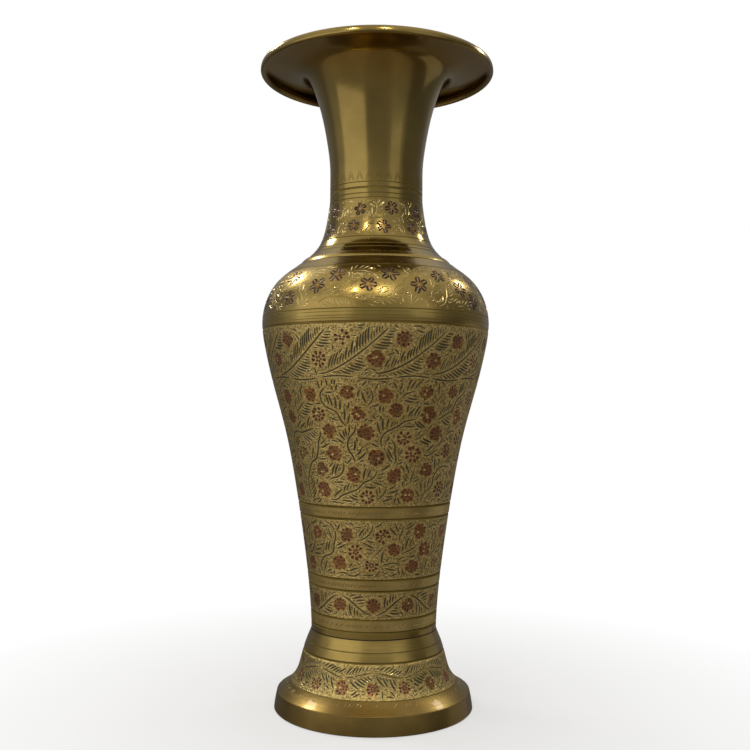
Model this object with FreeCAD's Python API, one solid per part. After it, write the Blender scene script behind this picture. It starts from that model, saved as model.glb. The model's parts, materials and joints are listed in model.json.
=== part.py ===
"""Tall engraved brass flower vase: a spun foot, a tapering vessel and a trumpet neck that screw together.

Millimetres, +Z up. The origin is the centre of the foot's underside. Every piece is round about Z, so each one is
a profile in the XZ plane (X is the radius) turned once about Z; the four threaded rings also carry a helical ridge.
"""

import FreeCAD, Part
import math
import os

# ---- driving dimensions ------------------------------------------------------------------------------------------
HEIGHT = 610.0
RIM_RADIUS = 111.0
THROAT_RADIUS = 44.3
BELLY_RADIUS = 108.1
BODY_BASE_RADIUS = 59.7
FOOT_RADIUS = 94.7

SHEET = 1.2  # wall of the vessel and the neck
FOOT_SHEET = 1.5
SOLDER_GAP = 0.05  # room for solder between two pieces that are joined for good
WASHER = 1.0  # thickness of each leather washer

# levels above the table
HOOP_TOP = 17.0
FOOT_TOP = 75.0
BODY_BASE = FOOT_TOP + WASHER
WAIST_SEAM = 358.0
BELLY_LEVEL = 366.0
COLLAR_TOP = 418.9
NECK_BASE = COLLAR_TOP + WASHER
THROAT_BOTTOM = 486.0
THROAT_TOP = 508.0

# the band the vase stands on, with a rabbet for the edge of the skirt
HOOP_BORE_RADIUS = 86.5
HOOP_SEAT_RADIUS = 91.1
HOOP_TOP_RADIUS = 91.9
HOOP_FLANK_MIDDLE = (93.5, 9.0)  # the flank bows outward a little
HOOP_CHAMFER = 0.8
HOOP_LEDGE = HOOP_TOP - 4.0

# screw joints: coarse lathe-cut threads, single start, right hand
PITCH = 3.0
RIDGE_HEIGHT = 1.6
RIDGE_FOOT = 1.9  # width of a ridge where it stands on its ring
RIDGE_CREST = 1.0
RIDGE_ROOT_BITE = 0.3  # how far a ridge is sunk into its ring
THREAD_RADIAL_GAP = 0.7  # crest of one thread to the root of the other
THREAD_TURNS = 3.5
THREAD_INSET = 2.3  # from a spigot's tip to the middle of its lowest turn
RING_WALL = 3.4  # wall of the threaded rings
NECK_SPIGOT_RADIUS = 59.6
BODY_SPIGOT_RADIUS = 51.6
SPIGOT_DEPTH = 15.0
SOCKET_DEPTH = 17.0

# flanges that join the threaded rings to the walls
FOOT_FLANGE = 4.0
BODY_FLANGE = 3.0
COLLAR_FLANGE = 7.0
COLLAR_FLANGE_RADIUS = 80.0

# bead at the foot of the neck
BEAD_HEIGHT = 5.9
BEAD_BASE_RADIUS = 72.4
BEAD_MIDDLE = (69.9, NECK_BASE + 3.4)
BEAD_TOP_RADIUS = 66.2
NECK_TUCK = NECK_BASE + 3.5  # lower edge of the neck's sheet, hidden in the bead's rabbet
WASHER_INSET = 0.7  # how far each washer stays inside the wall above it

# lap joint at the waist: the shoulder's skirt hangs inside the body
LAP_DEPTH = 7.0
LAP_RISE = 3.0  # how far the skirt is fused up inside the shoulder
LAP_GAP = 0.15

# dished floor of the vessel
FLOOR_RISE = 3.0
FLOOR_FLAT_RADIUS = 46.0  # from here outward it lies flat on its ring

# rim: past its crest the lip turns down, and its edge is rolled inward round the wire
ROLL_RADIUS = 2.2
ROLL_DROP = 3.6  # of the roll's top below the crest
ROLL_START = 0.0  # degrees round the roll at which the lip runs into it
ROLL_END = -200.0
WIRE_RADIUS = ROLL_RADIUS - SHEET - SOLDER_GAP

# turned lines, by level
GROOVE_WIDTH, GROOVE_DEPTH = 2.3, 0.5
LINE_WIDTH, LINE_DEPTH = 0.9, 0.25
BODY_GROOVES = [81.9, 93.2, 119.5, 129.7, 185.0, 195.8, WAIST_SEAM]
SHOULDER_LINES = [369.7, 410.5]
FOOT_GROOVES = [56.4]
FOOT_LINES = [26.5, 65.0]
NECK_LINES = [430.5, 434.0, 441.0, 477.6, 481.9, 487.6, 492.2]

UP = FreeCAD.Vector(0, 0, 1)
CENTRE = FreeCAD.Vector(0, 0, 0)


# ---- profile tools -----------------------------------------------------------------------------------------------
def at(radius, level):
    return FreeCAD.Vector(radius, 0, level)


def lean(degrees):
    """Unit vector in the profile plane that leans outward from straight up."""
    a = math.radians(degrees)
    return FreeCAD.Vector(math.sin(a), 0, math.cos(a))


def roll_point(size, degrees):
    """A point on a circle about the middle of the rolled rim, as (radius, level)."""
    a = math.radians(degrees)
    return (RIM_RADIUS - ROLL_RADIUS + size * math.cos(a), HEIGHT - ROLL_DROP - ROLL_RADIUS + size * math.sin(a))


def spline(points, start=None, end=None):
    """Smooth outline through (radius, level) points; start and end are its leans at both ends, in degrees."""
    curve = Part.BSplineCurve()
    spots = [at(*point) for point in points]
    if start is None:
        curve.interpolate(Points=spots)
    else:
        curve.interpolate(Points=spots, InitialTangent=lean(start), FinalTangent=lean(end))
    return curve


def straight(a, b):
    return Part.LineSegment(at(*a), at(*b))


def inward(curve, parameter, depth):
    """The point that lies depth inside the wall from an outline drawn from the bottom upward."""
    spot = curve.value(parameter)
    along = curve.tangent(parameter)[0]
    return spot + FreeCAD.Vector(-along.z, 0, along.x) * depth


def offset(curve, depth, stations=25):
    """The outline moved inward by depth."""
    first, last = curve.FirstParameter, curve.LastParameter
    if isinstance(curve, Part.LineSegment):
        return Part.LineSegment(inward(curve, first, depth), inward(curve, last, depth))
    steps = [first + (last - first) * i / (stations - 1) for i in range(stations)]
    moved = Part.BSplineCurve()
    moved.interpolate(
        Points=[inward(curve, u, depth) for u in steps],
        InitialTangent=curve.tangent(first)[0],
        FinalTangent=curve.tangent(last)[0],
    )
    return moved


def face_of(edges):
    """Flat face inside a loop of edges given in any order."""
    return Part.Face(Part.Wire(Part.__sortEdges__(edges)))


def polygon(*corners):
    spots = [at(*corner) for corner in corners]
    return Part.Face(Part.makePolygon(spots + spots[:1]))


def box(inner, outer, low, high):
    return polygon((inner, low), (outer, low), (outer, high), (inner, high))


def sheet(outline, near, far):
    """The wall between depths near and far inside an outline of curves joined end to end."""
    outer = [offset(curve, near) if near else curve for curve in outline]
    inner = [offset(curve, far) for curve in outline]
    bottom = Part.LineSegment(outer[0].value(outer[0].FirstParameter), inner[0].value(inner[0].FirstParameter))
    top = Part.LineSegment(outer[-1].value(outer[-1].LastParameter), inner[-1].value(inner[-1].LastParameter))
    return face_of([curve.toShape() for curve in outer + inner + [bottom, top]])


def between(face, low, high):
    """The part of a profile that lies between two levels."""
    return face.common(box(0, 2 * RIM_RADIUS, low, high))


def radius_at(outline, level):
    """Radius of an outline where it crosses a level."""
    ray = straight((0, level), (2 * RIM_RADIUS, level)).toShape()
    for curve in outline:
        gap, pairs, _ = curve.toShape().distToShape(ray)
        if gap < 1e-6:
            return pairs[0][0].x
    raise ValueError(f"the outline doesn't cross level {level}")


def grooved(face, outline, levels, width, depth):
    """Cuts a round-bottomed turned groove into a wall at each level."""
    size = (width * width / 4 + depth * depth) / (2 * depth)
    for level in levels:
        middle = at(radius_at(outline, level) + size - depth, level)
        face = face.cut(face_of([Part.Circle(middle, FreeCAD.Vector(0, -1, 0), size).toShape()]))
    return face


def turned(face):
    """The round solid that a profile sweeps about Z; slivers left by a cut are dropped."""
    return max(face.Faces, key=lambda piece: piece.Area).revolve(CENTRE, UP, 360)


def joined(first, *others):
    """Several touching solids made into one."""
    return first.fuse(list(others)).removeSplitter()


# ---- outlines ----------------------------------------------------------------------------------------------------
# each runs on past the seams at its ends, where the piece itself is cut off level
FOOT_OUTLINE = [spline([
    (95.6, 13.6), (90.9, HOOP_TOP), (81.3, 24.0), (74.1, 33.0), (69.4, 47.0), (65.7, 60.0), (62.0, 69.5),
    (59.9, FOOT_TOP), (59.3, 79.0),
])]

BODY_OUTLINE = [spline([
    (59.6, 70), (BODY_BASE_RADIUS, 78), (62.6, 120), (68.2, 165), (75.9, 215), (85.9, 265), (98.1, 310),
    (105.0, 340), (107.8, WAIST_SEAM), (BELLY_RADIUS, BELLY_LEVEL),
])]

SHOULDER_OUTLINE = [spline([
    (107.8, WAIST_SEAM), (BELLY_RADIUS, BELLY_LEVEL), (105.5, 382), (98.0, 398), (85.6, 411), (74.9, COLLAR_TOP),
    (70.4, 423.6),
])]

NECK_OUTLINE = [
    spline([(71.4, 420.9), (65.6, 426.0), (56.2, 436), (48.6, 455), (45.1, 475), (THROAT_RADIUS, THROAT_BOTTOM)],
           start=-49, end=0),
    straight((THROAT_RADIUS, THROAT_BOTTOM), (THROAT_RADIUS, THROAT_TOP)),
    spline([(THROAT_RADIUS, THROAT_TOP), (46.8, 535), (52.0, 562), (57.6, 581), (63.0, 593), (71.0, 603),
            (84.0, 607.0), (101.0, 608.7), roll_point(ROLL_RADIUS - SHEET, ROLL_START)],
           start=0, end=180 - ROLL_START),
]


def body_bore(level):
    """Inside radius of the body's wall, less room for solder."""
    return radius_at(BODY_OUTLINE, level) - SHEET - SOLDER_GAP


# ---- screw threads -----------------------------------------------------------------------------------------------
def thread_ridge(root_radius, side, lowest):
    """A helical ridge on a cylinder: side is 1 for one that stands outward and -1 for one that stands inward."""
    root = root_radius - side * RIDGE_ROOT_BITE
    crest = root_radius + side * RIDGE_HEIGHT
    foot, top = RIDGE_FOOT / 2, RIDGE_CREST / 2
    section = Part.makePolygon([at(root, -foot), at(crest, -top), at(crest, top), at(root, foot), at(root, -foot)])
    path = Part.makeHelix(PITCH, PITCH * THREAD_TURNS, root_radius)
    ridge = path.makePipeShell([section], True, True)
    ridge.translate(UP * lowest)
    return Part.Solid(ridge) if ridge.ShapeType == "Shell" else ridge


def spigot(radius, seam):
    """Tube that hangs below the washer on a seam, with a thread outside it."""
    low = seam + WASHER - SPIGOT_DEPTH
    tube = turned(box(radius - RING_WALL, radius, low, seam + WASHER))
    return joined(tube, thread_ridge(radius, 1, seam - SPIGOT_DEPTH + THREAD_INSET))


def socket_radius(spigot_radius):
    """Bore of the ring that takes a spigot."""
    return spigot_radius + RIDGE_HEIGHT + THREAD_RADIAL_GAP


def socket(spigot_radius, seam):
    """Tube that hangs below a seam, with a thread inside it, half a pitch away from the spigot's own."""
    bore = socket_radius(spigot_radius)
    tube = turned(box(bore, bore + RING_WALL, seam - SOCKET_DEPTH, seam))
    return joined(tube, thread_ridge(bore, -1, seam - SPIGOT_DEPTH + THREAD_INSET - PITCH / 2))


# ---- the foot ----------------------------------------------------------------------------------------------------
def foot_hoop():
    """Heavy band that the vase stands on."""
    low, high = (FOOT_RADIUS, HOOP_CHAMFER), (HOOP_TOP_RADIUS, HOOP_TOP - HOOP_CHAMFER / 2)
    flank = Part.Arc(at(*low), at(*HOOP_FLANK_MIDDLE), at(*high)).toShape()
    rest = Part.makePolygon([
        at(*high), at(HOOP_TOP_RADIUS - HOOP_CHAMFER / 2, HOOP_TOP), at(HOOP_SEAT_RADIUS, HOOP_TOP),
        at(HOOP_SEAT_RADIUS, HOOP_LEDGE), at(HOOP_BORE_RADIUS, HOOP_LEDGE), at(HOOP_BORE_RADIUS, 0),
        at(FOOT_RADIUS - HOOP_CHAMFER, 0), at(*low),
    ])
    return turned(face_of([flank] + rest.Edges))


def foot_shell():
    """Spun skirt from the hoop's rabbet up to the seam under the vessel."""
    room = box(0, HOOP_SEAT_RADIUS - SOLDER_GAP, HOOP_LEDGE + SOLDER_GAP, FOOT_TOP)
    face = sheet(FOOT_OUTLINE, 0, FOOT_SHEET).common(room)
    face = grooved(face, FOOT_OUTLINE, FOOT_GROOVES, GROOVE_WIDTH, GROOVE_DEPTH)
    return turned(grooved(face, FOOT_OUTLINE, FOOT_LINES, LINE_WIDTH, LINE_DEPTH))


def foot_thread_ring():
    """Socket brazed inside the top of the foot: the vessel's spigot screws into it."""
    flange = box(socket_radius(BODY_SPIGOT_RADIUS), FOOT_RADIUS, FOOT_TOP - FOOT_FLANGE, FOOT_TOP)
    outside = sheet(FOOT_OUTLINE, SOLDER_GAP - FOOT_RADIUS / 2, FOOT_SHEET + SOLDER_GAP)
    return joined(turned(flange.cut(outside)), socket(BODY_SPIGOT_RADIUS, FOOT_TOP))


def foot_washer():
    return turned(box(socket_radius(BODY_SPIGOT_RADIUS), BODY_BASE_RADIUS - WASHER_INSET, FOOT_TOP, BODY_BASE))


# ---- the vessel --------------------------------------------------------------------------------------------------
def body_thread_ring():
    """Flanged spigot under the vessel: the flange is brazed inside the body's lower edge."""
    flange = box(BODY_SPIGOT_RADIUS - RING_WALL, body_bore(BODY_BASE), BODY_BASE, BODY_BASE + BODY_FLANGE)
    return joined(turned(flange), spigot(BODY_SPIGOT_RADIUS, FOOT_TOP))


def vessel_floor():
    """Dished disc that closes the vessel, so that it holds water."""
    rest = BODY_BASE + BODY_FLANGE + SOLDER_GAP
    edge = body_bore(rest)
    arcs = [
        Part.Arc(at(0, level + FLOOR_RISE), at(FLOOR_FLAT_RADIUS / 2, level + FLOOR_RISE * 3 / 4),
                 at(FLOOR_FLAT_RADIUS, level)).toShape()
        for level in (rest, rest + SHEET)
    ]
    rim = Part.makePolygon([at(FLOOR_FLAT_RADIUS, rest), at(edge, rest), at(edge, rest + SHEET),
                            at(FLOOR_FLAT_RADIUS, rest + SHEET)])
    axis = straight((0, rest + FLOOR_RISE), (0, rest + FLOOR_RISE + SHEET)).toShape()
    return turned(face_of(arcs + [axis] + rim.Edges))


def body_shell():
    """Tapering wall of the vessel, from the foot's seam to the waist seam."""
    face = between(sheet(BODY_OUTLINE, 0, SHEET), BODY_BASE, WAIST_SEAM)
    return turned(grooved(face, BODY_OUTLINE, BODY_GROOVES, GROOVE_WIDTH, GROOVE_DEPTH))


def shoulder_shell():
    """Domed top of the vessel, with a stepped skirt that laps inside the body's upper edge."""
    seam = WAIST_SEAM + SOLDER_GAP
    low = body_bore(WAIST_SEAM - LAP_DEPTH) - LAP_GAP
    high = body_bore(WAIST_SEAM) - LAP_GAP
    skirt = polygon(
        (low - SHEET, WAIST_SEAM - LAP_DEPTH), (low, WAIST_SEAM - LAP_DEPTH), (high, seam), (high + SHEET / 2, seam),
        (high + SHEET / 2, WAIST_SEAM + LAP_RISE), (high - SHEET, WAIST_SEAM + LAP_RISE), (high - SHEET, seam),
    )
    wall = between(sheet(SHOULDER_OUTLINE, 0, SHEET), seam, COLLAR_TOP)
    wall = grooved(wall, SHOULDER_OUTLINE, [WAIST_SEAM], GROOVE_WIDTH, GROOVE_DEPTH)
    wall = grooved(wall, SHOULDER_OUTLINE, SHOULDER_LINES, LINE_WIDTH, LINE_DEPTH)
    return joined(turned(wall), turned(skirt))


def shoulder_thread_ring():
    """Socket brazed inside the shoulder's opening: the neck screws into it."""
    flange = box(socket_radius(NECK_SPIGOT_RADIUS), COLLAR_FLANGE_RADIUS, COLLAR_TOP - COLLAR_FLANGE, COLLAR_TOP)
    outside = sheet(SHOULDER_OUTLINE, -COLLAR_FLANGE, SHEET + SOLDER_GAP)
    return joined(turned(flange.cut(outside)), socket(NECK_SPIGOT_RADIUS, COLLAR_TOP))


# ---- the neck ----------------------------------------------------------------------------------------------------
def neck_washer():
    return turned(box(socket_radius(NECK_SPIGOT_RADIUS), BEAD_BASE_RADIUS - WASHER_INSET, COLLAR_TOP, NECK_BASE))


def neck_thread_ring():
    """Threaded spigot under the neck, with the bead that shows at the foot of the neck."""
    bore = NECK_SPIGOT_RADIUS - RING_WALL
    low, high = (BEAD_BASE_RADIUS, NECK_BASE), (BEAD_TOP_RADIUS, NECK_BASE + BEAD_HEIGHT)
    bead = Part.Arc(at(*low), at(*BEAD_MIDDLE), at(*high)).toShape()
    rest = Part.makePolygon([at(*high), at(bore, NECK_BASE + BEAD_HEIGHT), at(bore, NECK_BASE), at(*low)])
    rabbet = between(sheet(NECK_OUTLINE[:1], -SOLDER_GAP, SHEET + SOLDER_GAP), NECK_TUCK - SOLDER_GAP, HEIGHT)
    return joined(turned(face_of([bead] + rest.Edges).cut(rabbet)), spigot(NECK_SPIGOT_RADIUS, COLLAR_TOP))


def roll():
    """Section of the sheet where its edge is curled over the wire and back under the lip."""
    angles = (ROLL_START, (ROLL_START + ROLL_END) / 2, ROLL_END)
    arcs = [Part.Arc(*[at(*roll_point(size, a)) for a in angles]).toShape()
            for size in (ROLL_RADIUS, ROLL_RADIUS - SHEET)]
    ends = [straight(roll_point(ROLL_RADIUS - SHEET, a), roll_point(ROLL_RADIUS, a)).toShape()
            for a in (ROLL_START, ROLL_END)]
    return face_of(arcs + ends)


def neck_trumpet():
    """Neck and flared mouth in one spun sheet, with its edge rolled round the rim wire."""
    face = between(sheet(NECK_OUTLINE, 0, SHEET), NECK_TUCK, HEIGHT)
    face = grooved(face, NECK_OUTLINE, NECK_LINES, LINE_WIDTH, LINE_DEPTH)
    return joined(turned(face), turned(roll()))


def rim_wire():
    return Part.makeTorus(RIM_RADIUS - ROLL_RADIUS, WIRE_RADIUS, at(0, HEIGHT - ROLL_DROP - ROLL_RADIUS))


PIECES = [
    foot_hoop, foot_shell, foot_thread_ring, foot_washer,
    body_thread_ring, vessel_floor, body_shell, shoulder_shell, shoulder_thread_ring,
    neck_washer, neck_thread_ring, neck_trumpet, rim_wire,
]

os.makedirs("parts", exist_ok=True)
for piece in PIECES:
    solid = piece()
    if not solid.isValid() or len(solid.Solids) != 1:
        raise ValueError(f"{piece.__name__}: valid {solid.isValid()}, {len(solid.Solids)} solids")
    solid.Solids[0].exportStep(f"parts/{piece.__name__}.step")
    print(f"{piece.__name__:22} {solid.Volume / 1000:8.1f} cm3")
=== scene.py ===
"""Looks of the engraved brass vase.

Every wall that shows is turned again from its CAD node's own section, finer and with the engraving cut
into it. The floral bands are real shallow cuts: leaves, stems and petals are laid out by seeded rules, and
each band is triangulated round them. Lengths are in millimetres until a mesh is made; the stage is in metres.
"""

import json
import math
import random

import bpy
import numpy as np
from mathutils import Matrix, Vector
from mathutils.geometry import delaunay_2d_cdt

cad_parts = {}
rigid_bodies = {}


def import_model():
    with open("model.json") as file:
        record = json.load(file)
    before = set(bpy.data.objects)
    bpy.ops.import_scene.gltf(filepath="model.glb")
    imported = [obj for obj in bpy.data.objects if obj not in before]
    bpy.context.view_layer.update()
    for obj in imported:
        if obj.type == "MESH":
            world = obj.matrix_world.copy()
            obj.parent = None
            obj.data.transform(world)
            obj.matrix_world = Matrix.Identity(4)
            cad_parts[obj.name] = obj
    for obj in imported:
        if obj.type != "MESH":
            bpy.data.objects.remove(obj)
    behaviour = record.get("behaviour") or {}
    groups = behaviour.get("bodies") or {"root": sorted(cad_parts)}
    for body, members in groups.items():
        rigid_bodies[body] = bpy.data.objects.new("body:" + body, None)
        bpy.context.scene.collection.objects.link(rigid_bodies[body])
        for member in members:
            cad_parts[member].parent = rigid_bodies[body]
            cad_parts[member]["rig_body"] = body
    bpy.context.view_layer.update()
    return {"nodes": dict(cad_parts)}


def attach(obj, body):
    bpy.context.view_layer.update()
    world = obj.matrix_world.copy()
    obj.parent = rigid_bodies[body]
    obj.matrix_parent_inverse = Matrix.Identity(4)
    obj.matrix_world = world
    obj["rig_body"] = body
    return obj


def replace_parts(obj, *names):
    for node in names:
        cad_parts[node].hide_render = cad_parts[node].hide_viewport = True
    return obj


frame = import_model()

MM = 0.001
SEGMENTS = 192  # straight sides of every turned ring

# ---- levels of the grooves and bands; a band ends at the nearest points of its wall's section ----
BODY_GROOVES = (81.9, 93.2, 119.5, 129.7, 185.0, 195.8, 358.0)
UPPER_FIELD = (197.11, 356.94)
LOWER_FIELD = (130.97, 184.01)
VINE_BAND = (94.42, 118.46)
HATCHED_BANDS = ((186.3, 194.6), (120.7, 128.5), (83.09, 92.11))
SPRAYS = (312.0, 356.0)
FESTOON = 310.5
VINE = 106.4
UPPER_FLOWERS = (297.0, 208.5)
LOWER_FLOWERS = (171.5, 143.5)
SHOULDER_GROOVES = (369.7, 410.5)
SHOULDER_BAND = (370.12, 410.05)
SHOULDER_FLOWERS = (400.0, 390.6, 380.8)
SCORED_BAND = (359.25, 369.23)
SCORED_LINES = (361.4, 363.6, 366.9)
NECK_GROOVES = (430.5, 434.0, 441.0, 477.6, 481.9, 487.6, 492.2)
NECK_BAND = (441.45, 477.15)
NECK_FLOWERS = (467.2, 450.6)
TEETH_BAND = (492.65, 504.5)
FOOT_GROOVES = (26.5, 56.4, 65.0)
FOOT_BAND = (26.95, 55.25)
FOOT_VINE = 46.0
FOOT_FLOWERS = 35.2
FOOT_LEDGE = (20.65, 25.97)
SHADE_BELOW = 26.0  # the foot's walls below here take a darker brass, painted shade on its up-facing ledge

# ---- cuts ----
CUT_DEPTH = 0.34
SCORE_DEPTH = 0.1
GROOVE_HALF = 1.1  # strips of wall this near a groove's level are dark
CELL = 0.4  # of the clearance map
STAMP_REACH = 12.0  # how far round a cut the maps are updated
EDGE_MARGIN = 0.6  # kept clear along a band's edges
LEAF_CLEARANCE = 0.25
FAR = 40.0  # stands for no stem at all
GROUND_GRID = 3.4  # spacing of the plain ground's own points
GROUND_ROOM = 0.3  # share of that spacing they keep from a cut

# ---- flowers; lengths in flower radii ----
OUTER_PETALS = 9
OUTER_START = 0.44
OUTER_LENGTH = 0.56
OUTER_MIDDLE = 0.78  # where the petals' width is measured
OUTER_FULLNESS = 0.86  # share of the circle there that the petals take
INNER_PETALS = 5
INNER_START = 0.10
INNER_LENGTH = 0.31
INNER_MIDDLE = 0.33
INNER_FULLNESS = 0.8
PETAL_ROOT = 0.22  # share of a petal's width at its root, to each side
PETAL_BROADEST = 0.66  # share of its length
PETAL_PIT = 0.58
PETAL_LEAN = 0.12  # radians a petal may stand off its place
FLOWER_ROOM = 1.02
FLOWER_SIZES = (0.86, 1.08)
BED_CORNERS = 16
BED_REACH = (0.56, 1.08)
STAINED_BEDS = 0.8  # share of the flowers whose bed is stained
SPARKLING = 0.15  # share of the inner petals left as bright brass
MISSING = 0.1  # share of the outer petals never cut
LOOPED_PETALS = 5
LOOP_START = 0.14
LOOP_OPENING = 0.95  # radians between a petal's middle and the start of each of its strokes
LOOP_STROKE = 2.3  # millimetres wide

# ---- leaves and stems ----
SHORT_LEAF = 5.5  # leaves up to this length are drawn with fewer points
# (place along the stroke, share of its full width)
LONG_LEAF = ((0.0, 0.22), (0.25, 0.8), (0.55, 1.0), (0.82, 0.68), (1.0, 0.0))
SHORT_LEAF_SHAPE = ((0.0, 0.3), (0.5, 1.0), (1.0, 0.0))
LOOP_SHAPE = ((0.0, 0.35), (0.35, 1.0), (0.7, 0.9), (1.0, 0.0))
LEAF_SPACING = 3.2
LEAF_WIDTH = 2.6
LEAF_OFFSET = 0.95  # from the stem's edge
LEAF_SPREAD = math.radians(60)  # a leaf leaves its stem at this angle
LEAF_BEND = 0.45  # radians it then turns back towards the stem's own heading
LEAF_TRIES = (1.0, 0.84, 0.68, 0.54, 0.42, 0.32)  # shares of its full length; the longest that fits is cut
FIRST_LEAF = 1.5  # from the stem's end
COMMA_ROOM = 0.7
COMMA_SWAY = 0.9  # radians off the field's heading
COMMA_BENDS = (0.5, 1.1)
STEM_STEP = 2.6
STEM_WIDTH = 1.9
STEM_TIP = 0.35  # share of a stem's width at its ends
STEM_SWELL = 0.3  # and how much of it is gained at each point from there
STEM_ROOM = 0.4
STEM_START_ROOM = 1.5
STEM_TRIES = 2500
SHORTEST_STEM = 14.0
LONGEST_STEM = 110.0
CROWDED = 0.4  # share of the stems' spacing at which a growing one stops
STEER_PROBE = 4.5  # how far to each side a growing stem feels for cuts
STEER_GAIN = 0.35  # radians of turn per millimetre of difference
SHARPEST = 0.22  # radians a stem may turn in one step
WAVE_START, WAVE_SHARE = 0.03, 0.94  # the part of each half wave that is cut
HATCH_WIDTH = 0.9
HATCH_LENGTHS = (0.55, 1.0)
HATCH_STRAY = 0.1  # radians
HATCH_POINTS = (0, 0.35, 0.65, 1)
SCORE_WIDTH = 0.5
SCORE_RUNS = (0.4, 1.3)  # radians
SCORE_GAPS = (0.03, 0.2)
TOOTH_STROKE = 0.75
TOOTH_POINTS = (0, 0.33, 0.66, 0.92)  # shares of the way up a tooth's side
TOOTH_OUTLINES = ((0.08, 1.0), (0.24, 0.66))  # (inset as a share of the pitch, share of the height)
TOOTH_FOOT = 0.9  # above the band's lower edge
# each flower's (share of the sprays' pitch, share of their height)
SPRAY_FLOWERS = ((0.44, 0.74), (1.02, 0.34))
SPRAY_JITTER = 2.0
SPRAY_BOTTOM, SPRAY_RISE, SPRAY_CURVE = 0.04, 0.9, 1.7

# ---- stage, in metres ----
FLOOR_DROP = 0.0005
FLOOR_REACH = 6.0
SHADOW_FADE = (0.12, 0.5)  # distances between which the floor melts into the room
WARM = (1.0, 0.97, 0.91)
DAYLIGHT = (1.0, 0.98, 0.95)
# name, place, aim, size, power, colour
LIGHTS = (
    ("key", (-1.3, -1.0, 0.75), (0, 0, 0.35), (1.9, 1.2), 3.2, WARM),
    ("fill", (1.25, -1.25, 0.9), (0, 0, 0.3), (0.8, 0.9), 0.5, WARM),
    ("bounce", (0.95, 0.35, 0.02), (0, 0, 0.6), (0.7, 0.9), 0.35, WARM),
    ("window", (-0.95, 0.68, 1.36), (-0.06, -0.045, 0.41), (0.36, 0.24), 4.2, DAYLIGHT),
    ("far_window", (0.93, 0.56, 1.155), (0.075, -0.05, 0.385), (0.2, 0.16), 1.2, DAYLIGHT),
    ("lamp", (-0.42, -0.95, 1.35), (0, 0, 0.3), (0.05, 0.05), 1.3, WARM),
    ("lamp", (0.14, -1.0, 1.35), (0, 0, 0.3), (0.05, 0.05), 1.3, WARM),
)
# how bright the room is round the vase, by share of a turn: left is 0 and 1, the camera's side 0.25
ROOM_ROUND = ((0.0, 0.40), (0.10, 0.44), (0.17, 0.41), (0.205, 0.30), (0.31, 0.28), (0.345, 0.35),
              (0.415, 0.32), (0.445, 0.15), (0.60, 0.135), (0.66, 0.22), (0.76, 0.20), (0.82, 0.16),
              (0.94, 0.18), (0.97, 0.38), (1.0, 0.40))
# and by height, from straight down to straight up
ROOM_HEIGHT = ((0.0, (0.56, 0.44, 0.33)), (0.22, (0.58, 0.47, 0.35)), (0.44, 0.64), (0.58, 1.0))
CEILING = (0.60, 0.58, 0.54)
CEILING_FROM = (0.72, 0.9)  # heights between which the walls pass into the ceiling
CAMERA_SENSOR = 36  # this and the focal length are in millimetres
CAMERA_FOCAL = 45.8
CAMERA_SHIFT = (0.0, 0.0463)
CAMERA_DISTANCE = 0.917
CAMERA_HEIGHT = 0.283
CAMERA_ROLL = -math.radians(0.35)

# material slots of an engraved wall; the last is plain smooth ground on the body and painted shade on the
# foot
PLAIN, GROUND, LEAF, PETAL, GROOVE, BED, SPARK, SMOOTH_AND_SHADE = range(8)


# ---- sections of the CAD nodes ----
SEAM_TOLERANCE = 1e-3
LEVEL_TOLERANCE = 0.05
FACING_IN = -0.2  # edges whose normal's outward part is less are on an inner wall
CURVE_STEPS = 8  # samples along each of a section's edges


def key(point):
    """A section point, rounded so that neighbouring edges agree on it."""
    return (round(point[0], 2), round(point[1], 2))


def seam_edges(mesh):
    """The mesh's edges on the XZ plane at +X, with exact normals, directed with material on their left."""
    found = {}
    for poly in mesh.polygons:
        loops = list(poly.loop_indices)
        corners = [mesh.vertices[mesh.loops[i].vertex_index].co / MM for i in loops]
        if sum(c.y for c in corners) <= 0:
            continue
        for k, (a, b) in enumerate(zip(corners, corners[1:] + corners[:1])):
            if max(abs(a.y), abs(b.y)) < SEAM_TOLERANCE and min(a.x, b.x) > 0:
                na = mesh.corner_normals[loops[k]].vector
                nb = mesh.corner_normals[loops[(k + 1) % len(loops)]].vector
                start, end = (b.x, b.z), (a.x, a.z)
                found[key(start), key(end)] = ((start, (nb.x, nb.z)), (end, (na.x, na.z)))
    return list(found.values())


def flat_edge(a, b):
    """A straight edge of a section, with its normal pointing away from the material."""
    along = Vector((b[0] - a[0], b[1] - a[1])).normalized()
    return ((a, (along.y, -along.x)), (b, (along.y, -along.x)))


def section(node):
    """A turned node's closed section: directed edges, each ((r, z), normal) to ((r, z), normal)."""
    edges = seam_edges(frame["nodes"][node].data)
    starts = {key(e[0][0]): e for e in edges}
    ends = {key(e[1][0]) for e in edges}
    chains = []
    for head in [e for e in edges if key(e[0][0]) not in ends] or edges[:1]:
        chain, edge = [], head
        while edge is not None and edge not in chain:
            chain.append(edge)
            edge = starts.get(key(edge[1][0]))
        chains.append(chain)
    loop = chains.pop(0)
    while chains:  # flat ends have no seam of their own, so the chains are joined by straight edges
        tail = Vector(loop[-1][1][0])
        nearest = min(chains, key=lambda chain: (Vector(chain[0][0][0]) - tail).length)
        chains.remove(nearest)
        loop += [flat_edge(loop[-1][1][0], nearest[0][0][0])] + nearest
    if key(loop[-1][1][0]) != key(loop[0][0][0]):
        loop.append(flat_edge(loop[-1][1][0], loop[0][0][0]))
    return loop


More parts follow.
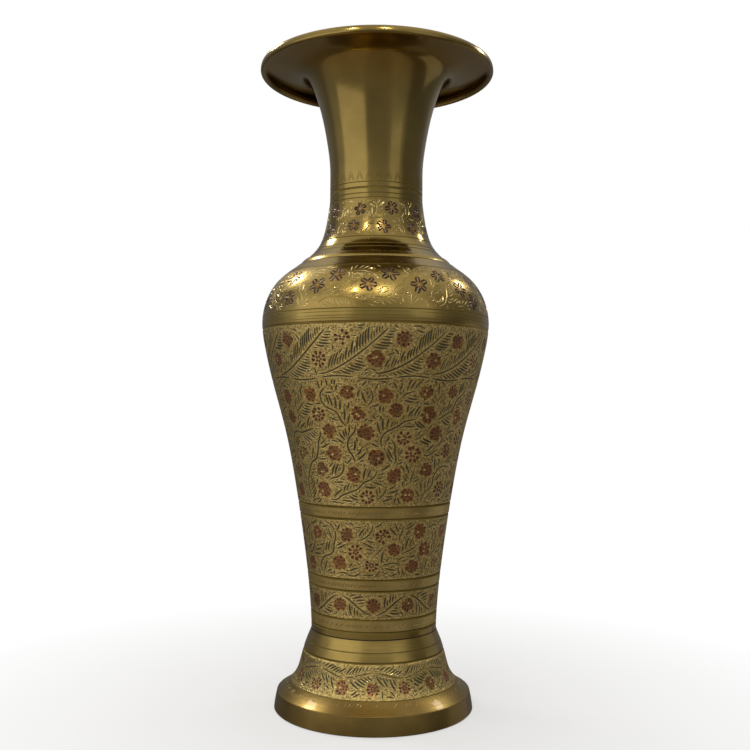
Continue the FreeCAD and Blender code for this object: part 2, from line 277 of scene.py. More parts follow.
def hermite(edge, t):
    """Point and normal at fraction t of a section's edge, curved to meet the normals at both ends."""
    (a, na), (b, nb) = edge
    a, b, na, nb = Vector(a), Vector(b), Vector(na).normalized(), Vector(nb).normalized()
    reach = (b - a).length
    ta, tb = Vector((-na.y, na.x)) * reach, Vector((-nb.y, nb.x)) * reach
    spot = (a * (2 * t**3 - 3 * t**2 + 1) + ta * (t**3 - 2 * t**2 + t)
            + b * (3 * t**2 - 2 * t**3) + tb * (t**3 - t**2))
    slope = (a * (6 * t**2 - 6 * t) + ta * (3 * t**2 - 4 * t + 1)
             + b * (6 * t - 6 * t**2) + tb * (3 * t**2 - 2 * t))
    slope.normalize()
    return (spot.x, spot.y), (slope.y, -slope.x)


def on_wall(loop, level):
    """The (r, z) point of the section's outer wall that is nearest to a level."""
    outer = [edge for edge in loop if edge[1][0][1] > edge[0][0][1] and edge[0][1][0] > FACING_IN]
    points = [end[0] for edge in outer for end in edge]
    best = min(abs(point[1] - level) for point in points)
    near = [point for point in points if abs(point[1] - level) < best + LEVEL_TOLERANCE]
    return max(near, key=lambda point: point[0])


# ---- turned walls ----
def put(name, data):
    """A new object in the scene."""
    made = bpy.data.objects.new(name, data)
    bpy.context.scene.collection.objects.link(made)
    return made


class Wall:
    """A turned node being made again: points and their fill of lac, faces, corner normals and slots."""

    def __init__(self, node, grooves=(), shade_up_to=0.0):
        self.node, self.grooves, self.shade_up_to = node, grooves, shade_up_to
        self.loop = section(node)
        self.points, self.fills = [], []
        self.faces, self.normals, self.kinds = [], [], []
        self.rings = {}

    def ring(self, flat):
        """First vertex of the ring of vertices through a section point."""
        if key(flat) not in self.rings:
            self.rings[key(flat)] = len(self.points)
            for k in range(SEGMENTS):
                turn = math.tau * k / SEGMENTS
                self.points.append((flat[0] * math.cos(turn), flat[0] * math.sin(turn), flat[1]))
                self.fills.append(0.0)
        return self.rings[key(flat)]

    def strip(self, edge):
        """One turned strip of quads between the two ends of a section's edge."""
        (a, na), (b, nb) = edge
        low, high = self.ring(a), self.ring(b)
        middle = (a[1] + b[1]) / 2
        # strips below the given level take the last slot, which on the foot is a darker brass painted as
        # shade
        kind = SMOOTH_AND_SHADE if middle < self.shade_up_to else PLAIN
        if any(abs(middle - level) < GROOVE_HALF for level in self.grooves):
            kind = GROOVE
        for k in range(SEGMENTS):
            after = (k + 1) % SEGMENTS
            here, there = math.tau * k / SEGMENTS, math.tau * (k + 1) / SEGMENTS
            self.faces.append((low + k, low + after, high + after, high + k))
            self.normals.append([(n[0] * math.cos(t), n[0] * math.sin(t), n[1])
                                 for n, t in ((na, here), (na, there), (nb, there), (nb, here))])
            self.kinds.append(kind)

    def stretch(self, low, high):
        """Takes the outer wall's edges between two levels out of the section; returns them, lowest first."""
        start, end = key(on_wall(self.loop, low)), key(on_wall(self.loop, high))
        starts = [key(edge[0][0]) for edge in self.loop]
        first = starts.index(start)
        turned = self.loop[first:] + self.loop[:first]
        count = [key(edge[0][0]) for edge in turned].index(end)
        self.loop = turned[count:]
        return turned[:count]

    def finished(self, slots):
        """The mesh object with its custom normals; it stands for the CAD node."""
        for edge in self.loop:
            self.strip(edge)
        mesh = bpy.data.meshes.new(self.node + "_look")
        mesh.from_pydata([tuple(c * MM for c in point) for point in self.points], [], self.faces)
        mesh.polygons.foreach_set("material_index", self.kinds)
        mesh.polygons.foreach_set("use_smooth", [True] * len(self.faces))
        mesh.attributes.new("fill", "FLOAT", "POINT").data.foreach_set("value", self.fills)
        mesh.normals_split_custom_set([normal for corners in self.normals for normal in corners])
        piece = put(self.node + "_look", mesh)
        for material in slots:
            mesh.materials.append(material)
        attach(piece, frame["nodes"][self.node]["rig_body"])
        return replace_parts(piece, self.node)


# ---- engraved bands ----
class Band:
    """An engraved stretch of wall, laid out in a plane that keeps the wall's angles true.

    x is the angle round the axis. y grows by the length up the wall over the radius, so a shape of some size
    is drawn at size / radius. The clearance map holds, for every cell, how far the nearest cut is, and the
    lane map how far the nearest stem is.
    """

    def __init__(self, wall, low, high, seed, ground=GROUND):
        self.wall, self.ground = wall, ground
        self.edges = wall.stretch(low, high)
        self.random = random.Random(seed)
        flats = [hermite(edge, t / CURVE_STEPS) for edge in self.edges for t in range(CURVE_STEPS)]
        flats.append(self.edges[-1][1])
        spots = np.array([flat[0] for flat in flats])
        self.normal = np.array([flat[1] for flat in flats])
        self.radius, self.level = spots[:, 0], spots[:, 1]
        step = np.hypot(np.diff(self.radius), np.diff(self.level))
        self.along = np.concatenate([[0], np.cumsum(step)])
        middle = (self.radius[1:] + self.radius[:-1]) / 2
        self.y = np.concatenate([[0], np.cumsum(step / middle)])
        self.top = self.y[-1]
        self.shapes = []  # (outline, spine, kind, depth)
        self.cell = CELL / float(self.radius.max())
        self.columns = int(math.tau / self.cell)
        self.rows = int(self.top / self.cell) + 2
        reach = np.interp(np.arange(self.rows) * self.cell, self.y, self.along)
        edge_gap = np.minimum(reach, self.along[-1] - reach) - EDGE_MARGIN
        self.clear = np.repeat(edge_gap[:, None], self.columns, axis=1)
        self.lanes = np.full_like(self.clear, FAR)

    # positions
    def size(self, y):
        """Wall radius at y: millimetres per unit of the plane."""
        return float(np.interp(y, self.y, self.radius))

    def at_level(self, level):
        """y of a height."""
        return float(np.interp(level, self.level, self.y))

    def placed(self, spot, heading, outline):
        """An outline in millimetres about a spot, turned to a heading, as points of the plane."""
        scale = 1 / self.size(spot[1])
        c, s = math.cos(heading) * scale, math.sin(heading) * scale
        return [(spot[0] + u * c - v * s, spot[1] + u * s + v * c) for u, v in outline]

    # clearance
    def read(self, chart, spot):
        """A map's value at a spot; below zero outside the band."""
        row = int(spot[1] / self.cell + 0.5)
        if not 0 <= row < self.rows:
            return -1.0
        return float(chart[row, int(spot[0] % math.tau / self.cell) % self.columns])

    def gap(self, spot):
        """Distance from a spot to the nearest cut."""
        return self.read(self.clear, spot)

    def stamp(self, spot, radius, chart=None):
        """Marks a disc as cut, in a map around it."""
        chart = self.clear if chart is None else chart
        scale = self.size(spot[1])
        half = int((STAMP_REACH + radius) / scale / self.cell)
        row, column = int(spot[1] / self.cell), int(spot[0] % math.tau / self.cell)
        rows = np.arange(max(row - half, 0), min(row + half + 1, self.rows))
        columns = np.arange(column - half, column + half + 1)
        dx = (columns * self.cell - spot[0] % math.tau)[None, :]
        dy = (rows * self.cell - spot[1])[:, None]
        away = np.hypot(dx, dy) * scale - radius
        window = np.ix_(rows, columns % self.columns)
        chart[window] = np.minimum(chart[window], away)

    # shapes
    def cut(self, outline, spine, kind, depth=CUT_DEPTH):
        """Keeps a cut: its outline in the plane, anticlockwise, and the points along its deepest line."""
        self.shapes.append((outline, spine, kind, depth))

    def petal(self, spot, heading, start, length, width, kind=PETAL):
        """A blunt wedge that begins some way from a flower's centre."""
        side = [(start, PETAL_ROOT * width), (start + PETAL_BROADEST * length, 0.5 * width)]
        mirror = [(u, -v) for u, v in side]
        outline = mirror + [(start + length, 0.0)] + side[::-1]
        pit = [(start + PETAL_PIT * length, 0.0)]
        self.cut(self.placed(spot, heading, outline), self.placed(spot, heading, pit), kind)

    def comma(self, spot, heading, bend, length, width, shape):
        """A curved stroke's middle line and outline; shape is its width along it, with none at its tip."""
        middle, sides = [], ([], [])
        for t, w in shape:
            turn = bend * t
            u, v = length * math.sin(turn) / bend, length * (1 - math.cos(turn)) / bend
            middle.append((u, v))
            back, up = math.sin(turn) * w * width / 2, math.cos(turn) * w * width / 2
            sides[0].append((u - back, v + up))
            sides[1].append((u + back, v - up))
        outline = sides[1] + sides[0][-2::-1]
        return self.placed(spot, heading, middle), self.placed(spot, heading, outline)

    def leaf(self, spot, heading, bend, length, width):
        """A comma-shaped leaf from a spot, if nothing is in its way. Tells whether it was cut."""
        shape = LONG_LEAF if length > SHORT_LEAF else SHORT_LEAF_SHAPE
        path, outline = self.comma(spot, heading, bend, length, width, shape)
        discs = [(point, w * width / 2) for point, (_, w) in zip(path, shape)]
        if any(self.gap(point) < half + LEAF_CLEARANCE for point, half in discs):
            return False
        self.cut(outline, path[1:-1], LEAF)
        for disc in discs:
            self.stamp(*disc)
        return True

    def stem(self, path, width, kind=LEAF, depth=CUT_DEPTH):
        """A long thin cut along a path of points, tapering to its ends."""
        count = len(path)
        left, right = [], []
        for i, point in enumerate(path):
            before, after = path[max(i - 1, 0)], path[min(i + 1, count - 1)]
            along = math.atan2(after[1] - before[1], after[0] - before[0])
            taper = min(1.0, STEM_TIP + STEM_SWELL * min(i, count - 1 - i))
            half = width * taper / 2 / self.size(point[1])
            across, up = math.sin(along) * half, math.cos(along) * half
            left.append((point[0] - across, point[1] + up))
            right.append((point[0] + across, point[1] - up))
        self.cut(right + left[::-1], path[1:-1], kind, depth)
        for point in path:
            self.stamp(point, width / 2)
            self.stamp(point, width / 2, self.lanes)

    def bed(self, spot, radius, turn):
        """The ragged ground under a flower that its lac has stained."""
        edge = []
        for k in range(BED_CORNERS):
            reach, angle = radius * self.random.uniform(*BED_REACH), math.tau * k / BED_CORNERS
            edge.append((reach * math.cos(angle), reach * math.sin(angle)))
        self.cut(self.placed(spot, turn, edge), [], BED)

    def flower(self, spot, radius, turn):
        """Two rings of lac petals, each a little different, mostly on a stained bed."""
        if self.random.random() < STAINED_BEDS:
            self.bed(spot, radius, turn)
        for k in range(OUTER_PETALS):
            if self.random.random() < MISSING:
                continue
            share = OUTER_FULLNESS * math.tau * OUTER_MIDDLE * radius / OUTER_PETALS
            wide = share * self.random.uniform(0.8, 1.05)
            long = OUTER_LENGTH * radius * self.random.uniform(0.72, 1.0)
            heading = turn + math.tau * k / OUTER_PETALS + self.random.uniform(-PETAL_LEAN, PETAL_LEAN)
            self.petal(spot, heading, OUTER_START * radius, long, wide)
        for k in range(INNER_PETALS):
            wide = INNER_FULLNESS * math.tau * INNER_MIDDLE * radius / INNER_PETALS
            kind = SPARK if self.random.random() < SPARKLING else PETAL
            heading = turn + math.tau * (k + 0.5) / INNER_PETALS
            self.petal(spot, heading, INNER_START * radius, INNER_LENGTH * radius, wide, kind)
        self.stamp(spot, FLOWER_ROOM * radius)

    def looped_flower(self, spot, radius, turn):
        """A flower in outline: each petal is two curved strokes of lac that meet at its tip."""
        for k in range(LOOPED_PETALS):
            heading = turn + math.tau * k / LOOPED_PETALS + self.random.uniform(-PETAL_LEAN, PETAL_LEAN)
            base = self.placed(spot, heading, [(LOOP_START * radius, 0.0)])[0]
            long = radius * self.random.uniform(0.84, 1.02)
            for side in (1, -1):
                opening = side * LOOP_OPENING * self.random.uniform(0.85, 1.1)
                stroke = self.comma(base, heading + opening, -2 * opening, long, LOOP_STROKE, LOOP_SHAPE)
                self.cut(stroke[1], stroke[0][1:-1], PETAL)
        self.stamp(spot, FLOWER_ROOM * radius)

    # the finished surface
    def points_at(self, flat, depth):
        """Places of the wall for points of the plane, sunk by a depth, and the wall's own normals there."""
        x, y = flat[:, 0], flat[:, 1]
        charts = (self.radius, self.level, self.normal[:, 0], self.normal[:, 1])
        radius, level, nr, nz = (np.interp(y, self.y, chart) for chart in charts)
        size = np.hypot(nr, nz)
        nr, nz = nr / size, nz / size
        radius, level = radius - depth * nr, level - depth * nz
        places = np.stack([radius * np.cos(x), radius * np.sin(x), level], axis=1)
        return places, np.stack([nr * np.cos(x), nr * np.sin(x), nz], axis=1)

    def ground_points(self):
        """Points of the plain ground, in staggered rows, wherever there is room between the cuts."""
        found, y, row = [], 0.0, 0
        while True:
            y += GROUND_GRID / self.size(y)
            if y > self.top - 0.5 * GROUND_GRID / self.size(self.top):
                return found
            row += 1
            count = int(math.tau * self.size(y) / GROUND_GRID)
            for k in range(count):
                spot = (math.tau * (k + row % 2 / 2) / count, y)
                if self.gap(spot) > GROUND_ROOM * GROUND_GRID:
                    found.append(spot)

    def finish(self):
        """Triangulates the band round its cuts, in a ring-shaped plane with no seam, and adds it."""
        flat = [(math.tau * k / SEGMENTS, y) for y in (0.0, float(self.top)) for k in range(SEGMENTS)]
        depths = [0.0] * len(flat)
        ribs, outlines, kinds = [], [], []
        for k in range(SEGMENTS):
            after = (k + 1) % SEGMENTS
            ribs += [(k, after), (SEGMENTS + k, SEGMENTS + after)]
        for outline, spine, kind, depth in self.shapes:
            first = len(flat)
            flat += outline
            depths += [0.0] * len(outline)
            outlines.append(list(range(first, first + len(outline)))[::-1])
            kinds.append(kind)
            start = len(flat)
            flat += spine
            depths += [depth] * len(spine)
            ribs += [(i, i + 1) for i in range(start, start + len(spine) - 1)]
        loose = self.ground_points()
        flat += loose
        depths += [0.0] * len(loose)
        table = np.array(flat)
        turned = np.stack([np.cos(table[:, 0]), np.sin(table[:, 0])], axis=1)
        around = [Vector(p) for p in np.exp(table[:, 1])[:, None] * turned]
        made = delaunay_2d_cdt(around, ribs, outlines, 0, 1e-7, True)
        spots, _, corners, point_sources, _, face_sources = made
        spots, corners = np.array([tuple(p) for p in spots]), np.array(corners)
        across, up = spots.T
        plane = np.stack([np.arctan2(up, across), np.log(np.hypot(across, up))], axis=1)
        sunk = np.zeros(len(plane))
        for i, sources in enumerate(point_sources):
            if sources:
                plane[i] = table[sources[0]]
                sunk[i] = depths[sources[0]]
        # a face inside several outlines is the last one's, so petals win over their bed
        kind = np.array([kinds[max(sources)] if sources else self.ground for sources in face_sources])
        bottom = np.array([bool(sources) and sources[0] < SEGMENTS for sources in point_sources])
        keep = ~bottom[corners].all(axis=1)  # leaves out the disc inside the band's lower edge
        self.add(plane, sunk, corners[keep][:, ::-1], kind[keep], point_sources)

    def add(self, plane, sunk, corners, kind, sources):
        """Adds the band's triangles to the wall, sharing the rings of points at its two edges."""
        wall = self.wall
        low, high = wall.ring(self.edges[0][0][0]), wall.ring(self.edges[-1][1][0])
        places, normals = self.points_at(plane, sunk)
        number = np.zeros(len(plane), dtype=int)
        for i, source in enumerate(sources):
            if source and source[0] < SEGMENTS:
                number[i] = low + source[0]
            elif source and source[0] < 2 * SEGMENTS:
                number[i] = high + source[0] - SEGMENTS
            else:
                number[i] = len(wall.points)
                wall.points.append(tuple(places[i]))
                wall.fills.append(min(1.0, sunk[i] / CUT_DEPTH))
        a, b, c = (places[corners[:, k]] for k in range(3))
        facings = np.cross(b - a, c - a)
        facings /= np.maximum(np.linalg.norm(facings, axis=1), 1e-12)[:, None]
        for triangle, slot, facing in zip(corners, kind, facings):
            wall.faces.append(tuple(number[triangle]))
            wall.kinds.append(int(slot))
            cut = slot in (LEAF, PETAL, SPARK)
            wall.normals.append([tuple(facing)] * 3 if cut else [tuple(normals[i]) for i in triangle])


# ---- patterns ----
def moved(band, spot, heading, distance):
    """The point of the plane some millimetres from a spot."""
    reach = distance / band.size(spot[1])
    return (spot[0] + math.cos(heading) * reach, spot[1] + math.sin(heading) * reach)


def apart(band, a, b):
    """Millimetres between two near points of the plane."""
    across = (a[0] - b[0] + math.pi) % math.tau - math.pi
    return math.hypot(across, a[1] - b[1]) * band.size((a[1] + b[1]) / 2)


def steered(band, spot, heading, wanted, way):
    """A stem's next heading: towards the wanted one and away from near cuts, never turning sharply."""
    left = band.gap(moved(band, spot, heading + math.pi / 2, STEER_PROBE))
    right = band.gap(moved(band, spot, heading - math.pi / 2, STEER_PROBE))
    if min(left, right) < STEER_PROBE:
        wanted += way * STEER_GAIN * (left - right)
    return heading + max(-SHARPEST, min(SHARPEST, wanted - heading))


def grown(band, start, field, spacing):
    """A stem's path, traced both ways from a start until it meets a cut or crowds another stem."""
    halves = []
    for way in (1, -1):
        path, spot, heading = [], start, field(start)
        while len(path) * STEM_STEP < LONGEST_STEM / 2:
            heading = steered(band, spot, heading, field(spot), way)
            spot = moved(band, spot, heading, way * STEM_STEP)
            blocked = band.gap(spot) < STEM_WIDTH / 2 + STEM_ROOM
            if blocked or band.read(band.lanes, spot) < CROWDED * spacing:
                break
            path.append(spot)
        halves.append(path)
    return halves[1][::-1] + [start] + halves[0]


def stems_along(band, field, spacing, width=STEM_WIDTH):
    """Fills a band with evenly spaced stems that follow a field of headings; returns their paths."""
    paths = []
    for _ in range(STEM_TRIES):
        start = (band.random.uniform(0, math.tau), band.random.uniform(0, band.top))
        if band.gap(start) < STEM_START_ROOM or band.read(band.lanes, start) < spacing:
            continue
        path = grown(band, start, field, spacing)
        if len(path) * STEM_STEP >= SHORTEST_STEM:
            band.stem(path, width)
            paths.append(path)
    return paths


def flower_rows(band, levels, pitch, radius, jitter=3.6, stagger=0.5, draw=Band.flower):
    """Staggered rows of flowers, set and sized a little unevenly as by hand."""
    for number, level in enumerate(levels):
        y = band.at_level(level)
        size = band.size(y)
        count = round(math.tau * size / pitch)
        for k in range(count):
            across, up = (band.random.uniform(-jitter, jitter) / size for _ in range(2))
            spot = (math.tau * (k + number * stagger) / count + across, y + up)
            reach = radius * band.random.uniform(*FLOWER_SIZES)
            if band.gap(spot) >= FLOWER_ROOM * reach:
                draw(band, spot, reach, band.random.uniform(0, math.tau))


def dressed(band, path, length=13.0, width=LEAF_WIDTH):
    """Herringbone leaves down both sides of a stem, each as long as there is room for."""
    travelled, due = 0.0, FIRST_LEAF
    for a, b in zip(path, path[1:]):
        step = apart(band, a, b)
        heading = math.atan2(b[1] - a[1], b[0] - a[0])
        while due < travelled + step:
            spot = moved(band, a, heading, due - travelled)
            for side in (1, -1):
                base = moved(band, spot, heading + side * math.pi / 2, STEM_WIDTH / 2 + LEAF_OFFSET)
                lean = heading + side * LEAF_SPREAD
                for share in LEAF_TRIES:
                    narrowed = width * (0.4 + 0.6 * share)
                    if band.leaf(base, lean, -side * LEAF_BEND, length * share, narrowed):
                        break
            due += LEAF_SPACING
        travelled += step


def filled(band, field, lengths=(8.0, 6.0, 4.5, 3.2, 2.2), width=2.2, tries=44000):
    """Loose commas in the spaces that are left."""
    for _ in range(tries):
        spot = (band.random.uniform(0, math.tau), band.random.uniform(0, band.top))
        if band.gap(spot) < COMMA_ROOM:
            continue
        heading = field(spot) + band.random.uniform(-COMMA_SWAY, COMMA_SWAY)
        bend = band.random.choice((-1, 1)) * band.random.uniform(*COMMA_BENDS)
        for length in lengths:
            if band.leaf(spot, heading, bend, length, width * (0.45 + 0.55 * length / lengths[0])):
                break


def wave(band, level, swing, periods, phase=0.0):
    """Paths of a line that waves round a band about a level, one stem to each half wave."""
    middle = band.at_level(level)
    size = band.size(middle)
    count = int(math.tau * size / periods / 2 / STEM_STEP)
    paths = []
    for half in range(2 * periods):
        path = []
        for i in range(count + 1):
            t = half + WAVE_START + WAVE_SHARE * i / count
            rise = swing / size * math.sin(math.pi * t + phase)
            path.append((math.tau * t / 2 / periods, middle + rise))
        paths.append(path)
    return paths


def sprays(band, low, high, count, reach, radius):
    """Stems that sweep up and some reach to the right, with a flower above and below each."""
    paths = []
    tall = high - low
    size = band.size(band.at_level((low + high) / 2))
    pitch = math.tau / count
    steps = int(math.hypot(reach, tall) / STEM_STEP)
    for k in range(count):
        for share, rise in SPRAY_FLOWERS:
            x = pitch * (k + share) + band.random.uniform(-SPRAY_JITTER, SPRAY_JITTER) / size
            y = band.at_level(low + rise * tall + band.random.uniform(-SPRAY_JITTER, SPRAY_JITTER))
            band.flower((x, y), radius * band.random.uniform(0.88, 1.06), band.random.uniform(0, math.tau))
        path = []
        for i in range(steps + 1):
            t = i / steps
            level = low + tall * (SPRAY_BOTTOM + SPRAY_RISE * t ** SPRAY_CURVE)
            path.append((pitch * k + reach / size * t, band.at_level(level)))
        band.stem(path, STEM_WIDTH)
        paths.append(path)
    return paths


def hatched(band, spacing, tilt, length, chance=0.8, kind=LEAF):
    """Slanted strokes in a narrow band, a few left out or cut short as by hand."""
    middle = band.top / 2
    count = int(math.tau * band.size(middle) / spacing)
    for k in range(count):
        if band.random.random() > chance:
            continue
        long = length * band.random.uniform(*HATCH_LENGTHS)
        heading = tilt + band.random.uniform(-HATCH_STRAY, HATCH_STRAY)
        start = moved(band, (math.tau * k / count, middle), heading, -long / 2)
        path = [moved(band, start, heading, long * t) for t in HATCH_POINTS]
        band.stem(path, HATCH_WIDTH, kind)


def scored(band, levels):
    """Fine turned lines that come and go round a plain band."""
    for level in levels:
        y = band.at_level(level)
        first = place = band.random.uniform(0, 0.5)
        while True:
            reach = band.random.uniform(*SCORE_RUNS)
            if place + reach > first + math.tau - 0.05:
                break
            count = int(reach * band.size(y) / STEM_STEP / 2)
            path = [(place + reach * i / count, y) for i in range(count + 1)]
            band.stem(path, SCORE_WIDTH, GROOVE, SCORE_DEPTH)
            place += reach + band.random.uniform(*SCORE_GAPS)


def toothed(band, count, height):
    """A row of pointed teeth, each two fine nested outlines that are open at their tips."""
    size = band.size(0)
    pitch = math.tau / count
    foot = TOOTH_FOOT / size
    for k in range(count):
        for inset, rise in TOOTH_OUTLINES:
            top = (pitch * (k + 0.5), foot + rise * height / size)
            for end in (pitch * (k + inset), pitch * (k + 1 - inset)):
                path = [(end + (top[0] - end) * t, foot + (top[1] - foot) * t) for t in TOOTH_POINTS]
                band.stem(path, TOOTH_STROKE, kind=GROOVE)


def diagonal(lean, swing, periods, climb=0):
    """A field of headings that sways about a lean, in degrees, as it goes round and up."""
    def field(spot):
        overtone = 0.7 * math.sin(2 * periods * spot[0] - climb * spot[1])
        return math.radians(lean + swing * math.sin(periods * spot[0] + climb * spot[1] + overtone))
    return field


def all_over(band, field, spacing):
    """Swaying stems round what is there already, leaves down them, and commas everywhere else."""
    for path in stems_along(band, field, spacing):
        dressed(band, path)
    filled(band, field)


def spread(ends, count):
    """Evenly spread levels, both ends included."""
    low, high = ends
    return [low + (high - low) * i / (count - 1) for i in range(count)]


def waved(band, level, swing, periods, radius, flower_level, width=STEM_WIDTH):
    """A waving vine with a flower in every bay, and leaves along the vine."""
    paths = wave(band, level, swing, periods, math.pi / 2)
    for path in paths:
        band.stem(path, width)
    middle = band.at_level(flower_level)
    for k in range(2 * periods):
        size = radius * band.random.uniform(0.9, 1.05)
        band.flower((math.pi * k / periods, middle), size, band.random.uniform(0, math.tau))
    for path in paths:
        dressed(band, path)


# ---- the engraved walls ----
def body_wall():
    """The body: three floral bands and three hatched ones between turned grooves."""
    wall = Wall("body_shell", BODY_GROOVES)
    upper = Band(wall, *UPPER_FIELD, seed=11)
    festoon = wave(upper, FESTOON, swing=1.6, periods=9)
    for path in festoon:
        upper.stem(path, STEM_WIDTH)
    rising = sprays(upper, *SPRAYS, count=12, reach=66.0, radius=8.2)
    flower_rows(upper, spread(UPPER_FLOWERS, 6), pitch=36.0, radius=8.3)
    for path in rising:
        dressed(upper, path, length=15.0)
    all_over(upper, diagonal(lean=62, swing=48, periods=4, climb=2.5), spacing=15.0)
    for path in festoon:
        dressed(upper, path, length=6.0)
    lower = Band(wall, *LOWER_FIELD, seed=12)
    flower_rows(lower, spread(LOWER_FLOWERS, 3), pitch=34.0, radius=7.8, jitter=2.4)
    all_over(lower, diagonal(lean=50, swing=32, periods=5, climb=2.0), spacing=16.0)
    vine = Band(wall, *VINE_BAND, seed=13)
    waved(vine, VINE, swing=8.6, periods=6, radius=7.6, flower_level=VINE)
    filled(vine, diagonal(lean=60, swing=40, periods=6), tries=4000)
    hatches = [Band(wall, *levels, seed=seed, ground=SMOOTH_AND_SHADE) for seed, levels in enumerate(HATCHED_BANDS, 14)]
    for band in hatches:
        hatched(band, spacing=2.7, tilt=math.radians(55), length=5.6)
    for band in [upper, lower, vine] + hatches:
        band.finish()
    return wall


def shoulder_wall():
    """The shoulder: thin bright stems and leaves round dark red flowers on polished brass."""
    wall = Wall("shoulder_shell", SHOULDER_GROOVES)
    plain = Band(wall, *SCORED_BAND, seed=22, ground=PLAIN)
    scored(plain, SCORED_LINES)
    band = Band(wall, *SHOULDER_BAND, seed=21, ground=PLAIN)
    flower_rows(band, SHOULDER_FLOWERS, pitch=47.0, radius=9.4, jitter=1.0, stagger=0.34,
                draw=Band.looped_flower)
    for path in stems_along(band, diagonal(lean=52, swing=38, periods=13), spacing=9.0, width=0.9):
        dressed(band, path, length=8.0, width=1.3)
    field = diagonal(lean=60, swing=40, periods=13)
    filled(band, field, lengths=(5.0, 3.5), width=1.0, tries=1200)
    plain.finish()
    band.finish()
    return wall


def neck_wall():
    """The neck and its trumpet: a floral band, fine lines and a row of teeth."""
    wall = Wall("neck_trumpet", NECK_GROOVES)
    band = Band(wall, *NECK_BAND, seed=31, ground=PLAIN)
    flower_rows(band, NECK_FLOWERS, pitch=28.0, radius=7.8, jitter=0.8, draw=Band.looped_flower)
    for path in stems_along(band, diagonal(lean=55, swing=22, periods=11), spacing=9.0, width=1.0):
        dressed(band, path, length=7.5, width=2.0)
    field = diagonal(lean=60, swing=40, periods=11)
    filled(band, field, lengths=(4.5, 3.0), width=1.4, tries=900)
    teeth = Band(wall, *TEETH_BAND, seed=32, ground=PLAIN)
    toothed(teeth, count=31, height=9.5)
    band.finish()
    teeth.finish()
    return wall


def foot_wall():
    """The foot: a vine with flowers below it on the flare, and a hatched ledge under them."""
    wall = Wall("foot_shell", FOOT_GROOVES, shade_up_to=SHADE_BELOW)
    band = Band(wall, *FOOT_BAND, seed=41)
    waved(band, FOOT_VINE, swing=2.6, periods=8, radius=7.0, flower_level=FOOT_FLOWERS, width=1.15)
    filled(band, diagonal(lean=70, swing=40, periods=8), tries=3000)
    # the ledge's ground takes the last slot, which on the foot is painted shade
    ledge = Band(wall, *FOOT_LEDGE, seed=42, ground=SMOOTH_AND_SHADE)
    hatched(ledge, spacing=3.4, tilt=math.radians(58), length=5.0, chance=0.6, kind=SPARK)
    band.finish()
    ledge.finish()
    return wall


# ---- materials ----
VARNISH_ROUGHNESS = 0.07
TARNISH = (22, 6)  # scale and detail of the plain brass's patches
STIPPLED = (520, 5)
MARKS_SCALE = 60
MARKS_STRETCH = (0.15, 0.15, 12)  # draws the turning marks out round the axis
BUMP_SCALE = 180
BUMP_HEIGHT = 0.001


def node(tree, kind, settings=None, **inputs):
    """A shader node with its settings. Each input, named with _ for a space, gets a value or a link."""
    made = tree.nodes.new("ShaderNode" + kind)
    for name, value in (settings or {}).items():
        setattr(made, name, value)
    for name, value in inputs.items():
        socket = made.inputs[name.replace("_", " ")]
        if isinstance(value, bpy.types.NodeSocket):
            tree.links.new(value, socket)
        else:
            socket.default_value = value
    return made


def new_material(name):
    """An empty node material and its tree."""
    material = bpy.data.materials.new(name)
    material.use_nodes = True
    material.node_tree.nodes.clear()
    return material, material.node_tree


def noise(tree, scale, detail=4.0, stretch=(1, 1, 1)):
    """A noise over the object's own space, stretched along its axes."""
    place = node(tree, "TexCoord").outputs["Object"]
    mapped = node(tree, "Mapping", Vector=place, Scale=stretch).outputs["Vector"]
    return node(tree, "TexNoise", Vector=mapped, Scale=scale, Detail=detail).outputs["Fac"]


def ramp(tree, value, *stops):
    """Tones along a value, from (place, tone) pairs; a tone is a colour or the level of a grey."""
    made = node(tree, "ValToRGB", Fac=value)
    elements = made.color_ramp.elements
    while len(elements) < len(stops):
        elements.new(0.5)
    for element, (place, tone) in zip(elements, stops):
        element.position = place
        element.color = (*tone, 1) if isinstance(tone, tuple) else (tone, tone, tone, 1)
    return made.outputs["Color"]


def shader_mix(tree, share, first, second):
    """Two shaders blended by a share."""
    made = node(tree, "MixShader", Fac=share)
    tree.links.new(first, made.inputs[1])
    tree.links.new(second, made.inputs[2])
    return made.outputs["Shader"]


def metal(tree, pale, dark, smooth, rough, relief=0.02, grain=TARNISH, varnish=0.0):
    """Old brass: two tones of tarnish, turning marks, a faint relief and some varnish."""
    tones = ramp(tree, noise(tree, *grain), (0.35, dark), (0.65, pale))
    marks = noise(tree, MARKS_SCALE, 3, MARKS_STRETCH)
    fine = noise(tree, max(BUMP_SCALE, grain[0]), 3, (1, 1, 2))
    bump = node(tree, "Bump", Strength=relief, Distance=BUMP_HEIGHT, Height=fine)
    shader = node(tree, "BsdfPrincipled", Metallic=1.0, Base_Color=tones,
                  Roughness=ramp(tree, marks, (0.3, smooth), (0.7, rough)),
                  Normal=bump.outputs["Normal"], Coat_Weight=varnish, Coat_Roughness=VARNISH_ROUGHNESS)
    return shader.outputs["BSDF"]


def brass(name, *tones, **finish):
    """A material of metal() alone, with its tones and finish."""
    material, tree = new_material(name)
    node(tree, "OutputMaterial", Surface=metal(tree, *tones, **finish))
    return material


def lac(name, colour, deep, edge, start, full):
    """A cut filled with coloured lac: bare brass along its edge, lac towards its middle."""
    material, tree = new_material(name)
    bare = metal(tree, edge, edge, 0.22, 0.36)
    patches = ramp(tree, noise(tree, 45), (0.35, deep), (0.65, colour))
    filling = node(tree, "BsdfPrincipled", Base_Color=patches, Roughness=0.4).outputs["BSDF"]
    fill = node(tree, "Attribute", {"attribute_name": "fill"}).outputs["Fac"]
    share = ramp(tree, fill, (start, 0), (full, 1))
    node(tree, "OutputMaterial", Surface=shader_mix(tree, share, bare, filling))
    return material


